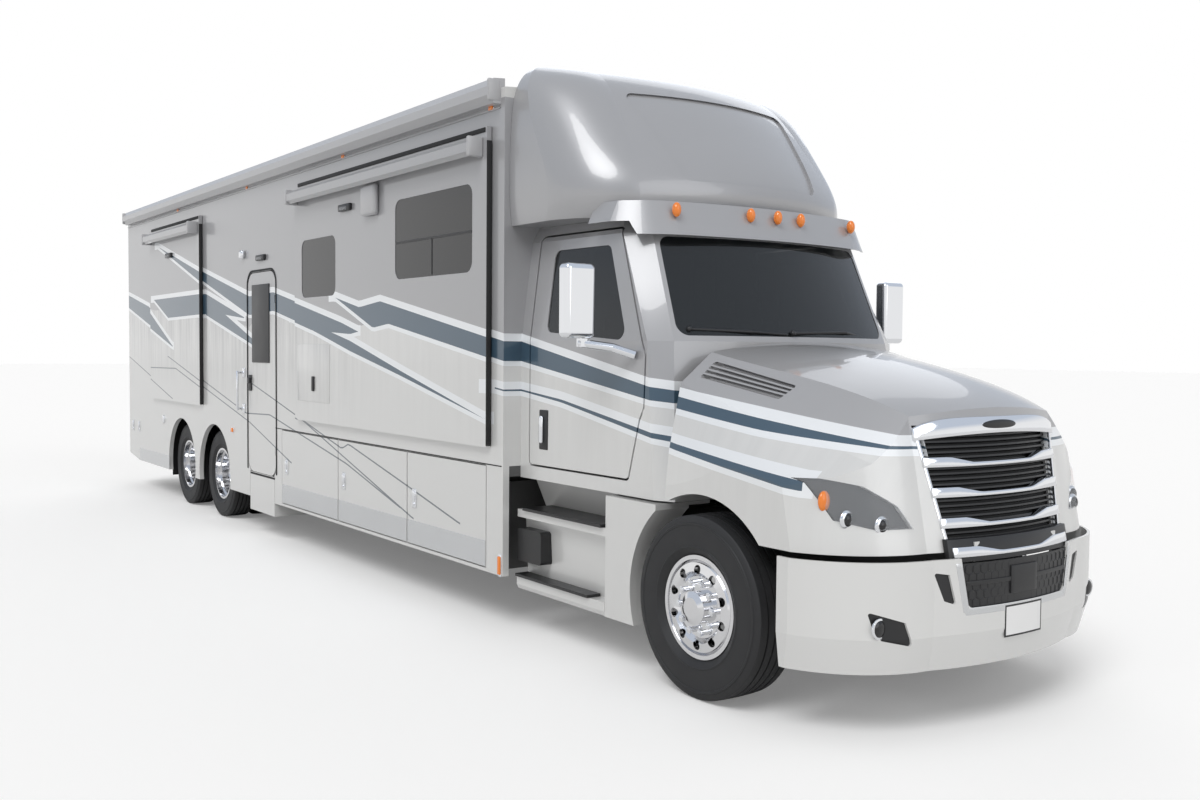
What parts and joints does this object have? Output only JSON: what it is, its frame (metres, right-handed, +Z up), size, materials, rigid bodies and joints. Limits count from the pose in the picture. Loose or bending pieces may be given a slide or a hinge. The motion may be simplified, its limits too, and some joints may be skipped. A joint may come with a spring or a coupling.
{
  "type": "motorhome",
  "caption": "Long motorhome on a conventional-cab tandem-axle truck chassis, with tilting hood, roof cap, slide-out rooms, entry door and side luggage doors",
  "frame": {"origin": "on the ground under the middle of the bounding box", "axes": "+X forward along the vehicle, +Y to its left, +Z up"},
  "size_m": [13.842, 3.1, 3.9647],
  "materials": {
    "silver_paint": "gloss metallic silver grey",
    "pale_paint": "gloss warm off-white",
    "roof_white": "satin white roof skin",
    "frame_black": "satin black chassis paint",
    "bright_chrome": "polished chrome",
    "wheel_aluminium": "polished forged aluminium",
    "tyre": "black rubber",
    "dark_glass": "dark tinted safety glass",
    "screen_glass": "lightly tinted laminated glass",
    "lamp_lens": "clear lamp lens",
    "red_lens": "red lamp lens",
    "black_plastic": "grained black plastic",
    "cast_metal": "painted cast iron",
    "floor_panel": "grey coated floor panel",
    "seat_leather": "grey brown leather",
    "awning_white": "satin painted aluminium"
  },
  "bodies": {
    "chassis": {"frame_rails": "frame_black", "tow_receiver": "frame_black", "steer_axle": "cast_metal", "drive_axles": "cast_metal", "powertrain": "cast_metal", "coach_floor": "floor_panel", "baggage_trays": "floor_panel", "coach_wall_right": "silver_paint", "coach_wall_left": "silver_paint", "end_walls": "silver_paint", "coach_roof": "roof_white", "front_cap": "silver_paint", "cab_shell": "silver_paint", "sun_visor": "silver_paint", "windshield": "screen_glass", "bumper": "pale_paint", "bumper_grille": "black_plastic", "cab_fairings": "pale_paint", "step_treads": "black_plastic", "patio_awning": "awning_white", "roof_air_conditioners": "roof_white", "tail_lamps": "red_lens", "cab_seats": "seat_leather", "dashboard": "black_plastic", "entry_step": "black_plastic"},
    "hood": {"hood": "silver_paint", "grille": "bright_chrome", "headlamps": "lamp_lens"},
    "entry_door": {"entry_door": "silver_paint", "entry_door_glass": "dark_glass"},
    "front_slide_room": {"slide_front": "silver_paint", "slide_front_glass": "dark_glass"},
    "rear_slide_room": {"slide_rear": "silver_paint"},
    "left_slide_room": {"slide_left": "silver_paint", "slide_left_glass": "dark_glass"},
    "cab_door_right": {"cab_door_right": "silver_paint", "cab_door_right_glass": "screen_glass", "mirror_right": "bright_chrome"},
    "knuckle_right": {"knuckle_right": "cast_metal"},
    "steer_wheel_right": {"steer_tyre_right": "tyre", "steer_rim_right": "wheel_aluminium"},
    "drive_wheels_front_right": {"drive_tyres_front_right": "tyre", "drive_rims_front_right": "wheel_aluminium"},
    "drive_wheels_rear_right": {"drive_tyres_rear_right": "tyre", "drive_rims_rear_right": "wheel_aluminium"},
    "cab_door_left": {"cab_door_left": "silver_paint", "cab_door_left_glass": "screen_glass", "mirror_left": "bright_chrome"},
    "knuckle_left": {"knuckle_left": "cast_metal"},
    "steer_wheel_left": {"steer_tyre_left": "tyre", "steer_rim_left": "wheel_aluminium"},
    "drive_wheels_front_left": {"drive_tyres_front_left": "tyre", "drive_rims_front_left": "wheel_aluminium"},
    "drive_wheels_rear_left": {"drive_tyres_rear_left": "tyre", "drive_rims_rear_left": "wheel_aluminium"},
    "baggage_door_right_front": {"baggage_door_right_front": "pale_paint"},
    "baggage_door_right_middle": {"baggage_door_right_middle": "pale_paint"},
    "baggage_door_right_rear": {"baggage_door_right_rear": "pale_paint"},
    "baggage_door_left_front": {"baggage_door_left_front": "pale_paint"},
    "baggage_door_left_rear": {"baggage_door_left_rear": "pale_paint"}
  },
  "joints": [
    {"name": "baggage_door_right_front_hinge", "type": "hinge", "parent": "chassis", "child": "baggage_door_right_front", "pos_m": [3.372, -1.285, 0.78], "axis": [0, 0, 1], "range_deg": [0, 100]},
    {"name": "baggage_door_right_middle_hinge", "type": "hinge", "parent": "chassis", "child": "baggage_door_right_middle", "pos_m": [2.097, -1.285, 0.78], "axis": [0, 0, 1], "range_deg": [0, 100]},
    {"name": "baggage_door_right_rear_hinge", "type": "hinge", "parent": "chassis", "child": "baggage_door_right_rear", "pos_m": [0.692, -1.285, 0.78], "axis": [0, 0, 1], "range_deg": [0, 100]},
    {"name": "baggage_door_left_front_hinge", "type": "hinge", "parent": "chassis", "child": "baggage_door_left_front", "pos_m": [3.372, 1.285, 0.78], "axis": [0, 0, -1], "range_deg": [0, 100]},
    {"name": "baggage_door_left_rear_hinge", "type": "hinge", "parent": "chassis", "child": "baggage_door_left_rear", "pos_m": [1.277, 1.285, 0.78], "axis": [0, 0, -1], "range_deg": [0, 100]},
    {"name": "entry_door_hinge", "type": "hinge", "parent": "chassis", "child": "entry_door", "pos_m": [-0.898, -1.288, 1.7], "axis": [0, 0, 1], "range_deg": [0, 100]},
    {"name": "cab_door_right_hinge", "type": "hinge", "parent": "chassis", "child": "cab_door_right", "pos_m": [4.987, -1.10894, 1.8], "axis": [0, 0.0326, 0.9995], "range_deg": [0, 65]},
    {"name": "cab_door_left_hinge", "type": "hinge", "parent": "chassis", "child": "cab_door_left", "pos_m": [4.987, 1.10894, 1.8], "axis": [0, 0.0326, -0.9995], "range_deg": [0, 65]},
    {"name": "front_slide_room_travel", "type": "slide", "parent": "chassis", "child": "front_slide_room", "axis": [0, -1, 0], "range_m": [0, 0.7]},
    {"name": "rear_slide_room_travel", "type": "slide", "parent": "chassis", "child": "rear_slide_room", "axis": [0, -1, 0], "range_m": [0, 0.55]},
    {"name": "left_slide_room_travel", "type": "slide", "parent": "chassis", "child": "left_slide_room", "axis": [0, 1, 0], "range_m": [0, 0.62]},
    {"name": "hood_tilt", "type": "hinge", "parent": "chassis", "child": "hood", "pos_m": [6.83, 0, 0.925], "axis": [0, 1, 0], "range_deg": [0, 60]},
    {"name": "steering_right", "type": "hinge", "parent": "chassis", "child": "knuckle_right", "pos_m": [5.61, -0.95, 0.53], "axis": [0, 0, 1], "range_deg": [-35, 35]},
    {"name": "steering_left", "type": "hinge", "parent": "chassis", "child": "knuckle_left", "pos_m": [5.61, 0.95, 0.53], "axis": [0, 0, 1], "range_deg": [-35, 35]},
    {"name": "steer_wheel_right_spin", "type": "hinge", "parent": "knuckle_right", "child": "steer_wheel_right", "pos_m": [5.61, -1.065, 0.53], "axis": [0, 1, 0], "continuous": true},
    {"name": "drive_wheels_front_right_spin", "type": "hinge", "parent": "chassis", "child": "drive_wheels_front_right", "pos_m": [-2.92, -0.9, 0.505], "axis": [0, 1, 0], "continuous": true},
    {"name": "drive_wheels_rear_right_spin", "type": "hinge", "parent": "chassis", "child": "drive_wheels_rear_right", "pos_m": [-4.24, -0.9, 0.505], "axis": [0, 1, 0], "continuous": true},
    {"name": "steer_wheel_left_spin", "type": "hinge", "parent": "knuckle_left", "child": "steer_wheel_left", "pos_m": [5.61, 1.065, 0.53], "axis": [0, 1, 0], "continuous": true},
    {"name": "drive_wheels_front_left_spin", "type": "hinge", "parent": "chassis", "child": "drive_wheels_front_left", "pos_m": [-2.92, 0.9, 0.505], "axis": [0, 1, 0], "continuous": true},
    {"name": "drive_wheels_rear_left_spin", "type": "hinge", "parent": "chassis", "child": "drive_wheels_rear_left", "pos_m": [-4.24, 0.9, 0.505], "axis": [0, 1, 0], "continuous": true}
  ],
  "couplings": [
    {"joint": "steering_left", "follows": "steering_right", "ratio": 1}
  ]
}
